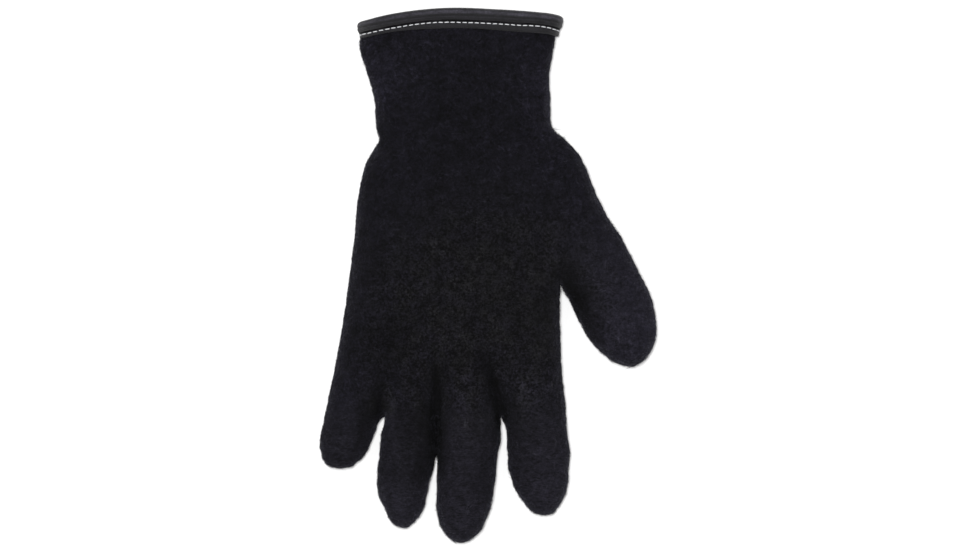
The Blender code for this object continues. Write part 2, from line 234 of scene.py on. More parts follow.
# Creases of the soft knit: x, y, heading in degrees, half length, half width and depth, in mm
CREASES = [
    (-50.0, 97.0, -12.0, 9.0, 2.2, 0.7),
    (-44.0, 88.0, 14.0, 12.0, 2.6, 0.6),
    (22.0, 90.0, -70.0, 8.0, 2.0, 0.7),
    (25.0, 79.0, -62.0, 6.0, 1.8, 0.6),
    (-52.0, 62.0, 18.0, 7.0, 2.4, 0.9),
    (29.0, 66.0, -38.0, 8.0, 2.6, 0.8),
    (37.0, 8.0, -78.0, 17.0, 3.2, 0.9),
    (31.0, -4.0, -60.0, 7.0, 2.4, 0.7),
    (-24.9, -70.0, 90.0, 15.0, 2.2, 2.4),
    (-24.6, -52.0, 91.0, 19.0, 2.8, 1.6),
    (6.2, -66.0, 98.0, 11.0, 2.2, 2.3),
    (2.6, -50.0, 103.0, 17.0, 2.8, 2.1),
    (-51.9, -68.0, 89.0, 9.0, 2.2, 1.3),
    (-52.0, -54.0, 92.0, 15.0, 3.0, 1.1),
    (-57.0, -34.0, 80.0, 12.0, 3.0, 0.4),
    (-22.0, 30.0, 4.0, 16.0, 4.0, 0.3),
    (2.0, 8.0, -24.0, 14.0, 4.0, 0.35),
]

# Where the knuckles and fingers stand up: from x, y to x, y, half width and height, in mm
RIDGES = [
    (-66.0, -44.0, -74.0, -78.0, 6.0, 0.5),
    (-40.0, -32.0, -43.0, -104.0, 6.0, 0.8),
    (-11.0, -32.0, -12.5, -112.0, 7.0, 0.9),
    (21.0, -38.0, 26.0, -98.0, 7.0, 0.7),
]

# Lumps of the brushed knit: height and size in mm, and the noise's seed
LUMPS = [(0.45, 17.0, 1), (0.34, 6.5, 2), (0.22, 2.1, 4)]
PEBBLE_SIZE = 2.7
PEBBLE_HEIGHT = 0.20
PALM_PEBBLES = ((8, -4), (48, 44), 0.16)  # where the pebbles stand higher: x and y, reach in each, by what
COURSE_PITCH = 2.5  # from one knitted course to the next
COURSE_HEIGHT = 0.055
FINGER_TEXTURE_Y = -62 * MM  # the fingers' texture begins here


def creased(points):
    """How far the creases lower the upper side here."""
    down = np.zeros(len(points))
    for x, y, heading, half_length, half_width, depth in CREASES:
        angle = math.radians(heading)
        away = points[:, :2] / MM - np.array([x, y])
        along = away @ np.array([math.cos(angle), math.sin(angle)])
        aside = away @ np.array([-math.sin(angle), math.cos(angle)])
        aside = aside - 0.02 * along * along / max(half_length, 1.0) * 3
        down += depth * np.exp(-((along / half_length) ** 2) - (aside / half_width) ** 2)
    return down * MM


def bulged(points):
    """How far the middle of each finger and knuckle stands up between the grooves."""
    up = np.zeros(len(points))
    for x0, y0, x1, y1, half_width, height in RIDGES:
        start, way = np.array([x0, y0]), np.array([x1 - x0, y1 - y0])
        away = points[:, :2] / MM - start
        share = np.clip(away @ way / (way @ way), 0.0, 1.0)
        gap = np.linalg.norm(away - share[:, None] * way, axis=1)
        up += height * np.exp(-((gap / half_width) ** 2)) * np.sin(math.pi * (0.12 + 0.76 * share))
    return up * MM


# The crotches: x, y and how far the cloth's edge draws back there, in mm
CROTCHES = [(-51.8, -69.5, 1.2), (-24.9, -69.5, 1.2), (8.0, -69.5, 3.5), (35.4, -5.0, -1.0)]
CROTCH_REACH = (3.2, 4.5)  # across the glove and along it, in mm

# Gaps between fingers: x, y and length down the glove, and how far each side draws back, in mm
GAPS = [
    (-51.8, -69.5, 30.0, -0.10),
    (-51.0, -64.5, 9.5, -0.70),
    (7.0, -69.5, 30.0, 0.20),
    (12.0, -69.5, 30.0, -0.70),
    (4.8, -65.0, 11.0, -1.30),
    (-25.2, -62.0, 28.0, -0.85),
    (-31.0, -90.0, 22.0, 0.75),
    (-21.0, -90.0, 22.0, -0.60),
]

# Where the soft cloth spreads sideways: x, y, reach along y and how far, in mm
SPREADS = [
    (-62.0, 114.0, 7.0, -1.3),
    (-60.0, 98.0, 14.0, -0.6),
    (-55.0, 80.0, 9.0, -0.9),
    (31.0, 74.5, 5.0, -0.8),
    (33.0, 66.6, 2.8, 2.3),
    (42.0, 62.5, 5.5, -1.6),
    (64.0, 19.0, 6.0, 0.8),
    (-63.0, 33.0, 6.0, -0.7),
    (-67.0, -5.0, 24.0, -0.8),
    (57.0, -40.0, 5.0, 1.3),
    (68.0, -40.0, 6.0, 0.4),
    (79.0, -38.5, 5.0, -1.1),
    (-80.0, -76.0, 12.0, -1.0),
    (-78.0, -91.0, 5.0, -1.2),
    (-53.0, -112.0, 7.0, 0.8),
    (-31.0, -105.0, 3.5, 0.9),
    (-34.0, -122.0, 6.0, -1.7),
    (-22.0, -107.0, 6.0, -1.0),
    (0.0, -118.0, 5.0, -0.8),
    (-20.0, -128.0, 4.0, 0.8),
    (-7.0, -128.0, 4.0, -0.9),
    (16.0, -112.0, 7.0, 0.5),
    (39.0, -86.0, 7.0, 0.9),
    (37.0, -110.0, 8.0, -0.8),
]
SIDE_REACH = 8  # how far across the glove a gap or a spread is felt, in mm
SPREAD_TOP = 118  # nothing spreads under the tape


def opened(points, normals):
    """The crotches drawn back to a point, and the gaps below them opened as the nap lies flat there."""
    moved = points.copy()
    for x, y, rise in CROTCHES:
        aside = (points[:, 0] / MM - x) / CROTCH_REACH[0]
        along = (points[:, 1] / MM - y) / CROTCH_REACH[1]
        moved[:, 1] += rise * MM * np.exp(-aside * aside - along * along)
    for x, y, length, back in GAPS:
        down = y - points[:, 1] / MM
        near = np.exp(-(((points[:, 0] / MM - x) / SIDE_REACH) ** 2))
        near = near * ease(down / 4) * ease((length - down) / 5)
        moved[:, 0] -= back * MM * near * normals[:, 0]
    for x, y, reach, out in SPREADS:
        aside = (points[:, 0] / MM - x) / SIDE_REACH
        along = (points[:, 1] / MM - y) / reach
        near = np.exp(-aside * aside - along * along)
        moved[:, 0] += out * MM * near * ease((SPREAD_TOP - points[:, 1] / MM) / 4)
    return moved


def on_fingers(points):
    """1 on the fingers, 0 on the hand."""
    return ease((FINGER_TEXTURE_Y - points[:, 1]) / (14 * MM))


def relief(mesh):
    """Lumps, pebbles and creases of the brushed knit, as geometry."""
    points, normals = coordinates(mesh), normals_of(mesh)
    points = opened(points, normals)
    upper = ease((normals[:, 2] + 0.2) / 0.6)
    out = np.full(len(points), -NAP * MM)
    for height, size, seed in LUMPS:
        out += height * MM * noise_at(points, size * MM, seed)
    centre, reach, more = PALM_PEBBLES
    pebbles = 1 - noise_at(points, PEBBLE_SIZE * MM, 3, "VORONOI_F1")
    out += (PEBBLE_HEIGHT + more * bell(points, centre, reach)) * MM * pebbles
    sway = 2.2 * noise_at(points, 14 * MM, 5)
    course = np.sin(2 * math.pi * points[:, 1] / (COURSE_PITCH * MM) + sway)
    out += COURSE_HEIGHT * MM * course * (0.4 + 0.6 * on_fingers(points))
    edge = ease((129.5 * MM - points[:, 1]) / (14 * MM))
    out *= 0.35 + 0.65 * edge
    moved = points + normals * out[:, None]
    moved[:, 2] += (bulged(points) - creased(points)) * upper
    moved[:, 2] = np.maximum(moved[:, 2], UNDERSIDE)
    set_coordinates(mesh, moved)


def scatter(mesh, count, draw, weight):
    """Random places on a mesh: points and normals. weight(points, normals) is how dense they are."""
    mesh.calc_loop_triangles()
    corners = np.zeros(len(mesh.loop_triangles) * 3, int)
    mesh.loop_triangles.foreach_get("vertices", corners)
    corners = corners.reshape(-1, 3)
    points, normals = coordinates(mesh), normals_of(mesh)
    a, b, c = (points[corners[:, k]] for k in range(3))
    area = np.linalg.norm(np.cross(b - a, c - a), axis=1)
    share = area * weight((a + b + c) / 3, unit(normals[corners].sum(axis=1)))
    chosen = np.searchsorted(np.cumsum(share) / share.sum(), draw.random(count))
    chosen = np.minimum(chosen, len(corners) - 1)
    u, v = draw.random(count), draw.random(count)
    swap = u + v > 1
    u[swap], v[swap] = 1 - u[swap], 1 - v[swap]
    w = 1 - u - v
    weights = np.stack([w, u, v], axis=1)[:, :, None]
    place = (points[corners[chosen]] * weights).sum(axis=1)
    normal = unit((normals[corners[chosen]] * weights).sum(axis=1))
    return place, normal


def headings(places, normals, draw, spread):
    """The way each fibre lies: swirls of the brushed nap, across the fingers, with a random share."""
    swirl = 2 * math.pi * noise_at(places, 16 * MM, 11) + 1.1 * noise_at(places, 4 * MM, 12)
    across = np.where(draw.random(len(places)) < 0.5, 0.0, math.pi)
    finger = on_fingers(places)
    angle = swirl * (1 - finger) + across * finger
    angle = angle + draw.normal(0.0, 1.0, len(places)) * spread
    flat = np.stack([np.cos(angle), np.sin(angle), np.zeros(len(places))], axis=1)
    return unit(flat - normals * np.sum(flat * normals, axis=1)[:, None])


ROOT_DEPTH = 0.12 * MM  # how deep in the cloth a fibre starts
TAPER = 0.55  # how much narrower its ribbon gets towards the tip


def strands(name, places, normals, heading, length, width, lift, bend, tilt, steps):
    """Fibres as narrow ribbons that rise from the cloth, bend aside and taper to a point."""
    count = len(places)
    side = np.cross(normals, heading)
    rows = []
    for step in range(steps + 1):
        u = step / steps
        centre = places + heading * (length * u)[:, None]
        centre = centre + side * (bend * length * u * u)[:, None]
        arch = math.sin(math.pi * min(u * 0.75 + 0.08, 1.0))
        centre = centre + normals * (lift * arch - ROOT_DEPTH)[:, None]
        half = width * (1 - TAPER * u) / 2
        flat = side * np.cos(tilt)[:, None] + normals * np.sin(tilt)[:, None]
        if step < steps:
            rows.append(centre - flat * half[:, None])
            rows.append(centre + flat * half[:, None])
        else:
            rows.append(centre)
    points = np.stack(rows, axis=1).reshape(-1, 3)
    points[:, 2] = np.maximum(points[:, 2], NAP_UNDERSIDE)
    each = 2 * steps + 1
    base = np.arange(count) * each
    quads = []
    for step in range(steps - 1):
        quads.append(np.stack([base + 2 * step + k for k in (0, 1, 3, 2)], axis=1))
    quads = np.concatenate(quads)
    tips = np.stack([base + 2 * (steps - 1), base + 2 * (steps - 1) + 1, base + 2 * steps], axis=1)
    mesh = bpy.data.meshes.new(name)
    mesh.vertices.add(len(points))
    mesh.vertices.foreach_set("co", points.reshape(-1))
    loops = np.concatenate([quads.reshape(-1), tips.reshape(-1)])
    mesh.loops.add(len(loops))
    mesh.loops.foreach_set("vertex_index", loops.astype(np.int32))
    starts = np.concatenate([np.arange(len(quads)) * 4, len(quads) * 4 + np.arange(len(tips)) * 3])
    mesh.polygons.add(len(starts))
    mesh.polygons.foreach_set("loop_start", starts.astype(np.int32))
    mesh.update(calc_edges=True)
    mesh.validate()
    return mesh


def nap(name, cloth, material, count, weight, size, seed, spread=0.9, steps=2, bend=0.55):
    """One piece of nap. size is the mean length, the width and the lift, in mm."""
    draw = np.random.default_rng(SEED + seed)
    places, normals = scatter(cloth, count, draw, weight)
    length = size[0] * MM * draw.lognormal(0.0, 0.38, count)
    width = size[1] * MM * draw.uniform(0.7, 1.35, count)
    lift = size[2] * MM * draw.uniform(0.35, 1.5, count)
    bends = draw.uniform(-bend, bend, count)
    tilt = draw.normal(0.0, 0.28, count)
    heading = headings(places, normals, draw, spread)
    mesh = strands(name, places, normals, heading, length, width, lift, bends, tilt, steps)
    return new_object(name, mesh, material, smooth=False)


def locks(name, cloth, material, count, each, weight, size, seed):
    """Curled locks of the brushed nap: strands that lie side by side along one arc.

    size is the mean length, the width, the lift and how far apart the strands lie, in mm.
    """
    draw = np.random.default_rng(SEED + seed)
    places, normals = scatter(cloth, count, draw, weight)
    heading = headings(places, normals, draw, 1.0)
    length = size[0] * MM * draw.lognormal(0.0, 0.30, count)
    bends = draw.choice([-1.0, 1.0], count) * draw.uniform(0.5, 1.35, count)
    lift = size[2] * MM * draw.uniform(0.6, 1.3, count)
    side = np.cross(normals, heading)
    whole = count * each

    def per_strand(values):
        return np.repeat(values, each, axis=0)

    aside = draw.normal(0.0, 1.0, whole) * size[3] * MM
    ahead = draw.normal(0.0, 0.16, whole) * per_strand(length)
    start = per_strand(places) + per_strand(side) * aside[:, None] + per_strand(heading) * ahead[:, None]
    found = cloth_tree(cloth)
    start = np.array([found.find_nearest(Vector(point))[0] for point in start])
    start = start + per_strand(normals) * 0.15 * MM
    turn = per_strand(heading) + per_strand(side) * draw.normal(0.0, 0.16, whole)[:, None]
    mesh = strands(
        name,
        start,
        per_strand(normals),
        unit(turn),
        per_strand(length) * draw.uniform(0.7, 1.2, whole),
        size[1] * MM * draw.uniform(0.7, 1.3, whole),
        per_strand(lift) * draw.uniform(0.4, 1.2, whole),
        per_strand(bends) + draw.normal(0.0, 0.10, whole),
        draw.normal(0.0, 0.5, whole),
        5,
    )
    return new_object(name, mesh, material, smooth=False)


def cloth_tree(mesh):
    """Finds the nearest place on a mesh as it is now."""
    bm = bmesh.new()
    bm.from_mesh(mesh)
    tree = BVHTree.FromBMesh(bm)
    bm.free()
    return tree


def cuff_line(mesh, count):
    """Points evenly round the shell's edge at the cuff, with the normals and the ways down the cloth."""
    bm = bmesh.new()
    bm.from_mesh(mesh)
    border = [edge for edge in bm.edges if edge.is_boundary]
    start = border[0]
    order = [start.verts[0], start.verts[1]]
    edge = start
    while order[-1] is not order[0]:
        vert = order[-1]
        edge = next(e for e in vert.link_edges if e.is_boundary and e is not edge)
        order.append(edge.other_vert(vert))
    points = np.array([vert.co for vert in order])
    normals = np.array([vert.normal for vert in order])
    bm.free()
    along = np.concatenate([[0], np.cumsum(np.linalg.norm(np.diff(points, axis=0), axis=1))])
    at = np.arange(count) / count * along[-1]
    points = np.stack([np.interp(at, along, points[:, k]) for k in range(3)], axis=1)
    normals = unit(np.stack([np.interp(at, along, normals[:, k]) for k in range(3)], axis=1))
    tangent = unit(np.roll(points, -1, axis=0) - np.roll(points, 1, axis=0))
    down = unit(np.cross(tangent, normals))
    if down[:, 1].mean() > 0:
        down = -down
    return points, normals, down, along[-1]


def averaged(values, reach):
    """The values of a closed ring, each averaged with its neighbours."""
    total = sum(np.roll(values, shift, axis=0) for shift in range(-reach, reach + 1))
    return total / (2 * reach + 1)


# How much nearer to the cuff's edge the tape lies than its even course. Each row is x, and then how
# far at the fold, the stitches and the lower edge, in mm
TAPE_COURSE = [
    (-64.0, 1.10, 2.00, 3.70),
    (-56.0, 1.00, 1.50, 3.40),
    (-43.0, 0.65, 1.15, 2.40),
    (-28.0, 0.35, 1.00, 1.50),
    (-13.0, 0.20, 0.50, 1.00),
    (2.0, -0.10, 0.35, 0.80),
    (15.0, 0.20, 0.50, 0.75),
    (24.0, 0.45, 1.25, 1.10),
    (29.0, 0.75, 1.30, 1.50),
    (33.0, 0.55, 0.70, 1.30),
    (36.0, 0.40, 0.55, 1.20),
]
# Where the tape stands off the cuff's two ends: from which x, over how much, and how far, in mm
TAPE_FLARE = [(-57.0, -6.0, -1.2), (29.0, 5.0, 0.7)]

# Ridges and grooves along the tape's outer side, and lines of painted highlight along the fold and its
# ridge and of painted shade in the grooves, darkest just above the stitches: how far they lie on the way
# from the stitches (0) to the fold (1), how wide, and their height in mm or how much lighter they are
# painted
TAPE_RIDGES = [(0.86, 0.10, 0.24), (0.50, 0.06, 0.12), (0.20, 0.07, -0.22), (0.61, 0.05, -0.12)]
TAPE_PAINTED_LIGHT_LINES = [
    (0.86, 0.09, 3.6),
    (1.0, 0.06, 3.3),
    (0.49, 0.055, 0.65),
    (0.165, 0.075, -0.75),
    (0.64, 0.04, -0.35),
]

# Unevenness along the tape: height and length in mm
PUCKER = 0.10
ROPE = (0.04, 5.1)
WAVE = (0.05, 23.0)
DRIFT = (0.12, 37.0)


class Cuff:
    """Places on the cloth near its edge: round it, down from it and out from it."""

    def __init__(self, mesh, count):
        self.tree = cloth_tree(mesh)
        self.count = count
        self.points, self.normals, self.down, self.length = cuff_line(mesh, count)
        self.kept = {}

    def ring(self, down):
        """Points and normals of the cloth's surface this far down from the edge."""
        key = round(down * 1e6)
        if key not in self.kept:
            reach = down - self.nearer(down)
            below = self.points + self.down * np.maximum(reach, 0.0)[:, None]
            found = [self.tree.find_nearest(Vector(point)) for point in below]
            points = np.array([hit[0] for hit in found])
            points = averaged(points, 1) + self.down * np.minimum(reach, 0.0)[:, None]
            flare = 1 - 0.7 * min(max(down / TAPE_WIDTH, 0.0), 1.0)
            for start, width, far in TAPE_FLARE:
                points[:, 0] += far * flare * MM * ease((points[:, 0] / MM - start) / width)
            normals = unit(averaged(unit(np.array([hit[1] for hit in found])), 5))
            self.kept[key] = (points, normals)
        return self.kept[key]

    def nearer(self, down):
        """How much nearer to the edge the tape lies here than its even course."""
        course = np.array(TAPE_COURSE)
        across = self.points[:, 0] / MM
        fold, stitches, lower = (np.interp(across, course[:, 0], course[:, k]) for k in (1, 2, 3))
        at = down / STITCH_DOWN
        under = (down - STITCH_DOWN) / (TAPE_WIDTH - STITCH_DOWN)
        upper = fold + (stitches - fold) * np.clip(at, 0.0, 1.0)
        return averaged((upper + (lower - stitches) * np.clip(under, 0.0, 1.0)) * MM, 4)

    def at(self, down, out):
        points, normals = self.ring(down)
        return points + normals * np.asarray(out).reshape(-1, 1)


def humps(at, table):
    """The sum of a table's humps here. Each row is its place, width and size."""
    return sum(size * math.exp(-(((at - middle) / width) ** 2)) for middle, width, size in table)


def tape_profile():
    """The folded tape's section, from its lower outer edge over the fold to its lower inner edge.

    Each entry is how far down and out a point lies, and how much lighter the tape is painted there: painted
    highlight over the fold, painted shade in the grooves and towards the lower edge.
    """
    outer = CLEARANCE + TAPE
    swell = outer + ROLL
    section = []
    lower = [(TAPE_WIDTH, 0.10), (TAPE_WIDTH + 0.05 * MM, 0.45), (TAPE_WIDTH - 0.05 * MM, 0.85)]
    section += [(down, out * MM, -0.2) for down, out in lower]
    for share in np.linspace(0.06, 1.0, 9):
        down = TAPE_WIDTH + (STITCH_DOWN - TAPE_WIDTH) * share
        out = outer + 0.10 * MM * math.sin(math.pi * min(share * 1.15, 1.0)) - PINCH * share**6
        section.append((down, out, -0.15 + 0.45 * share))
    for share in np.linspace(0.08, 1.0, 26):
        down = STITCH_DOWN * (1 - share)
        rise = math.sin(math.pi / 2 * min(share * 1.7, 1.0))
        out = outer - PINCH * (1 - share) ** 6 + (swell - outer) * rise * (1 - 0.25 * share**3)
        section.append((down, out + humps(share, TAPE_RIDGES) * MM, humps(share, TAPE_PAINTED_LIGHT_LINES)))
    inside = -WALL - CLEARANCE
    high = section[-1][1]
    low = inside - TAPE - INNER_ROLL
    middle, half = (high + low) / 2, (high - low) / 2
    for step in range(1, 14):
        angle = math.pi * step / 14
        over = -(CLEARANCE + TAPE + INNER_ROLL) * math.sin(angle)
        section.append((over, middle + half * math.cos(angle), 1.0 - step / 14))
    for share in np.linspace(0.0, 1.0, 16):
        down = STITCH_DOWN * share
        section.append((down, low + INNER_ROLL * ease(share), 0.0))
    for share in np.linspace(0.12, 1.0, 6):
        section.append((STITCH_DOWN + (TAPE_WIDTH - STITCH_DOWN) * share, inside - TAPE, 0.0))
    section += [(TAPE_WIDTH + 0.05 * MM, inside - 0.5 * MM, 0.0), (TAPE_WIDTH, inside - 0.05 * MM, 0.0)]
    return section


def tape_mesh(cuff, stitches):
    section = tape_profile()
    around = cuff.length * np.arange(cuff.count) / cuff.count
    phase = 2 * math.pi * around / cuff.length * stitches
    points = []
    for down, out, _ in section:
        near = math.exp(-(((down - STITCH_DOWN) / (1.5 * MM)) ** 2))
        sign = 1 if out > -WALL / 2 else -1
        pucker = PUCKER * MM * near * (0.5 + 0.5 * np.cos(phase))
        rope = ROPE[0] * MM * np.sin(2 * math.pi * around / (ROPE[1] * MM) + 2.4 * down / MM)
        wave = WAVE[0] * MM * np.sin(2 * math.pi * around / (WAVE[1] * MM) + down / (3 * MM))
        ring = cuff.at(down, out + sign * (rope + wave - pucker))
        drift = DRIFT[0] * MM * np.sin(2 * math.pi * around / (DRIFT[1] * MM) + 1.0)
        ring = ring + cuff.down * (drift * ease((down - STITCH_DOWN) / (3 * MM)))[:, None]
        ring[:, 2] = np.maximum(ring[:, 2], 0.0)
        points.append(ring)
    rows, count = len(points), cuff.count
    faces = []
    for row in range(rows):
        after = (row + 1) % rows
        for i in range(count):
            j = (i + 1) % count
            faces.append((row * count + i, row * count + j, after * count + j, after * count + i))
    mesh = mesh_from("tape", np.concatenate(points), faces)
    # the tape's painted light: painted highlight over the fold and painted shade in the grooves, read by
    # the tape's material
    band = mesh.attributes.new("lighter", "FLOAT", "POINT")
    band.data.foreach_set("value", np.repeat([lighter for _, _, lighter in section], count))
    return mesh


def stitch_mesh(cuff, stitches, out, sign):
    """A row of stitches: tubes with the lobes of two plied strands, whose ends dip into the tape."""
    points, faces = [], []
    base, normals = cuff.ring(STITCH_DOWN)
    at = np.arange(cuff.count + 1) / cuff.count
    looped = np.concatenate([base, base[:1]])
    looped_normals = np.concatenate([normals, normals[:1]])
    looped_down = np.concatenate([cuff.down, cuff.down[:1]])

    def read(values, places):
        return np.stack([np.interp(places % 1.0, at, values[:, k]) for k in range(3)], axis=1)

    steps, sides = 14, 10
    half = STITCH_LENGTH / 2 / cuff.length
    draw = np.random.default_rng(SEED + (1 if sign > 0 else 2))
    for number in range(stitches):
        middle = (number + 0.5) / stitches
        slant = draw.normal(0.0, 0.05) * MM
        long = half * draw.uniform(0.93, 1.05)
        places = middle + np.linspace(-long, long, steps + 1)
        centre, normal, down = (read(v, places) for v in (looped, looped_normals, looped_down))
        normal, down = unit(normal), unit(down)
        share = np.linspace(-1, 1, steps + 1)
        height = THREAD * (1.05 - 1.9 * np.abs(share) ** 5)
        centre = centre + normal * (out + sign * height)[:, None] + down * (slant * share)[:, None]
        radius = THREAD * (1 - 0.25 * np.abs(share) ** 6)
        first = len(points)
        for ring in range(steps + 1):
            twist = 2 * math.pi * ring / steps * 1.6
            for k in range(sides):
                angle = 2 * math.pi * k / sides
                lobe = 1 + 0.14 * math.cos(2 * (angle - twist))
                way = math.cos(angle) * down[ring] + math.sin(angle) * normal[ring]
                points.append(centre[ring] + radius[ring] * lobe * way)
        for ring in range(steps):
            for k in range(sides):
                a = first + ring * sides + k
                b = first + ring * sides + (k + 1) % sides
                faces.append((a, b, b + sides, a + sides))
        faces.append(tuple(range(first + sides - 1, first - 1, -1)))
        faces.append(tuple(range(first + steps * sides, first + (steps + 1) * sides)))
    mesh = mesh_from("stitches", points, faces)
    bm = bmesh.new()
    bm.from_mesh(mesh)
    bmesh.ops.recalc_face_normals(bm, faces=bm.faces)
    bm.to_mesh(mesh)
    bm.free()
    return mesh


class Nodes:
    """Short names for building a material's nodes."""

    def __init__(self, name):
        self.material = bpy.data.materials.new(name)
        self.material.use_nodes = True
        self.tree = self.material.node_tree
        self.shader = self.tree.nodes["Principled BSDF"]
        self.place = self.add("ShaderNodeTexCoord").outputs["Object"]

    def add(self, kind, **inputs):
        node = self.tree.nodes.new(kind)
        for key, value in inputs.items():
            socket = node.inputs[key.replace("_", " ")]
            self.feed(socket, value)
        return node

    def feed(self, socket, value):
        if isinstance(value, bpy.types.NodeSocket):
            self.tree.links.new(value, socket)
        else:
            socket.default_value = value

    def noise(self, size, detail=2.0, roughness=0.55, stretch=None):
        place = self.place
        if stretch:
            mapping = self.add("ShaderNodeMapping", Vector=place)
            mapping.inputs["Scale"].default_value = stretch
            place = mapping.outputs["Vector"]
        node = self.add("ShaderNodeTexNoise", Vector=place, Scale=1 / size, Detail=detail)
        node.inputs["Roughness"].default_value = roughness
        return node.outputs["Fac"]

    def ramp(self, value, low, high, to_low=0.0, to_high=1.0):
        node = self.add("ShaderNodeMapRange", Value=value)
        node.interpolation_type = "SMOOTHSTEP"
        ends = {"From Min": low, "From Max": high, "To Min": to_low, "To Max": to_high}
        for key, number in ends.items():
            node.inputs[key].default_value = number
        return node.outputs["Result"]

    def maths(self, operation, a, b):
        node = self.tree.nodes.new("ShaderNodeMath")
        node.operation = operation
        self.feed(node.inputs[0], a)
        self.feed(node.inputs[1], b)
        return node.outputs[0]

    def mix(self, share, a, b):
        node = self.tree.nodes.new("ShaderNodeMix")
        node.data_type = "RGBA"
        self.feed(node.inputs[0], share)
        self.feed(node.inputs[6], a)
        self.feed(node.inputs[7], b)
        return node.outputs[2]

    def scaled(self, tone, factor):
        node = self.tree.nodes.new("ShaderNodeVectorMath")
        node.operation = "SCALE"
        self.tree.links.new(tone, node.inputs[0])
        self.feed(node.inputs["Scale"], factor)
        return node.outputs["Vector"]

    def near(self, centre, reach, shape=(1.0, 1.0, 1.0)):
        """1 at this place on the glove, in mm, and 0 beyond this reach. shape divides it along x, y, z."""
        vector = self.place
        steps = (("SUBTRACT", [v * MM for v in centre]), ("MULTIPLY", shape), ("LENGTH", None))
        for operation, value in steps:
            node = self.tree.nodes.new("ShaderNodeVectorMath")
            node.operation = operation
            self.tree.links.new(vector, node.inputs[0])
            if value:
                node.inputs[1].default_value = value
            vector = node.outputs[0]
        return self.ramp(node.outputs["Value"], 0.0, reach * MM, 1.0, 0.0)

    def bump(self, heights):
        """heights: pairs of a height value and its depth in mm."""
        normal = None
        for value, depth in heights:
            node = self.add("ShaderNodeBump", Height=value, Distance=depth * MM, Strength=1.0)
            if normal:
                self.tree.links.new(normal, node.inputs["Normal"])
            normal = node.outputs["Normal"]
        self.tree.links.new(normal, self.shader.inputs["Normal"])


def colour(tone, factor=1.0):
    return (tone[0] * factor, tone[1] * factor, tone[2] * factor, 1.0)


# Colours as linear red, green and blue
DEEP = (0.0023, 0.0021, 0.0028)
YARN = (0.0050, 0.0046, 0.0070)
PALE = (0.0110, 0.0102, 0.0155)
# a neutral grey, painted as shade over the middle of the hand and in the thumb's crease
PAINTED_SHADE_GREY = (0.0048, 0.0047, 0.0049)
KNIT_SHEEN = (0.72, 0.72, 0.95)
NAP_SHEEN = (0.75, 0.72, 0.95)
TAPE_DARK = (0.0042, 0.0039, 0.0054)
TAPE_LIGHT = (0.0085, 0.0079, 0.0107)
TAPE_WEAVE = (0.0033, 0.0033, 0.0038)
THREAD_DARK = (0.50, 0.51, 0.54)
THREAD_LIGHT = (0.74, 0.74, 0.76)
FLOOR_TONE = (0.90, 0.90, 0.90)
WHITE = (1.0, 1.0, 1.0)

# Painted highlights and painted shade: parts of the glove painted lighter or darker than the rest, as light
# and shade fall on them: x, y, z and reach in mm, and by what share
PAINTED_HIGHLIGHTS_AND_SHADE = [
    (66, -24, 10, 50, 2.20),
    (50, 14, 18, 40, 0.85),
    (-72, -74, 10, 46, 1.00),
    (-62, -22, 16, 30, 0.50),
    (-44, -98, 14, 36, 0.50),
    (-42, -114, 16, 22, 1.80),
    (-12, -64, 22, 24, 0.65),
    (-12, -90, 18, 34, 1.15),
    (-12, -118, 10, 30, 1.00),
    (-13, -119, 16, 22, 1.20),
    (24, -62, 22, 32, 0.75),
    (26, -92, 16, 34, 0.80),
    (29, -108, 10, 26, 0.60),
    (27, -105, 14, 22, 1.35),
    (36, -80, 12, 24, 1.00),
    (-58, 96, 12, 30, 1.10),
    (34, 92, 12, 28, 1.45),
    (28, 56, 22, 22, 0.35),
    (10, -10, 26, 66, -0.02),
    (-10, 46, 24, 44, -0.20),
    (-12, 80, 22, 44, -0.20),
    (-49, -29, 22, 28, -0.60),
    (-14, -130, 5, 14, 1.30),
    (-41, -122, 5, 14, 1.50),
    (-73, -92, 5, 14, 1.10),
    (28, -115, 5, 14, 1.10),
    (71, -44, 5, 14, 0.90),
    (82, -26, 5, 16, 0.90),
]

# Painted shade in the folds between the fingers and at the thumb, and painted highlights along the finger
# ridges: x, y, reach and by what share, each much narrower than long
PAINTED_FOLD_SHADE_AND_RIDGE_LIGHT = [
    (-25.2, -46, 12, -0.40),
    (-25.2, -55, 13, -0.95),
    (-25.2, -65, 13, -1.30),
    (-25.2, -75, 14, -1.50),
    (-25.2, -85, 14, -1.60),
    (-25.6, -95, 14, -1.40),
    (-31.0, -70, 13, -0.35),
    (-31.5, -80, 13, -0.40),
    (-32.5, -90, 13, -0.75),
    (-33.0, -99, 12, -0.45),
    (-2.5, -43, 11, -0.50),
    (1.0, -51, 12, -0.95),
    (3.8, -59, 12, -1.35),
    (6.0, -67, 12, -1.55),
    (5.0, -77, 12, -0.90),
    (4.0, -88, 12, -0.50),
    (11.0, -56, 12, -0.45),
    (11.0, -66, 12, -0.50),
    (11.5, -76, 12, -0.45),
    (-53.5, -53, 12, -0.45),
    (-53.8, -62, 13, -0.85),
    (-53.8, -70, 12, -0.95),
    (-60.0, -62, 13, -0.70),
    (-60.5, -72, 13, -0.85),
    (-62.0, -82, 12, -0.55),
    (38.5, -2, 21, -1.00),
    (43.5, -12, 23, -1.15),
    (47.5, -21, 23, -1.15),
    (52.5, -31, 17, -0.70),
    (40.0, 20, 20, -0.25),
    (-46.3, -60, 10, 0.65),
    (-46.3, -70, 10, 0.75),
    (-46.3, -80, 10, 0.65),
    (-46.0, -90, 10, 0.50),
    (-13.5, -56, 14, 0.30),
    (-13.0, -68, 14, 0.45),
    (-13.0, -80, 14, 0.30),
]
FOLD_SHAPE = (2.0, 1.0, 0.3)  # how much faster than along y a fold's shade fades along x and z
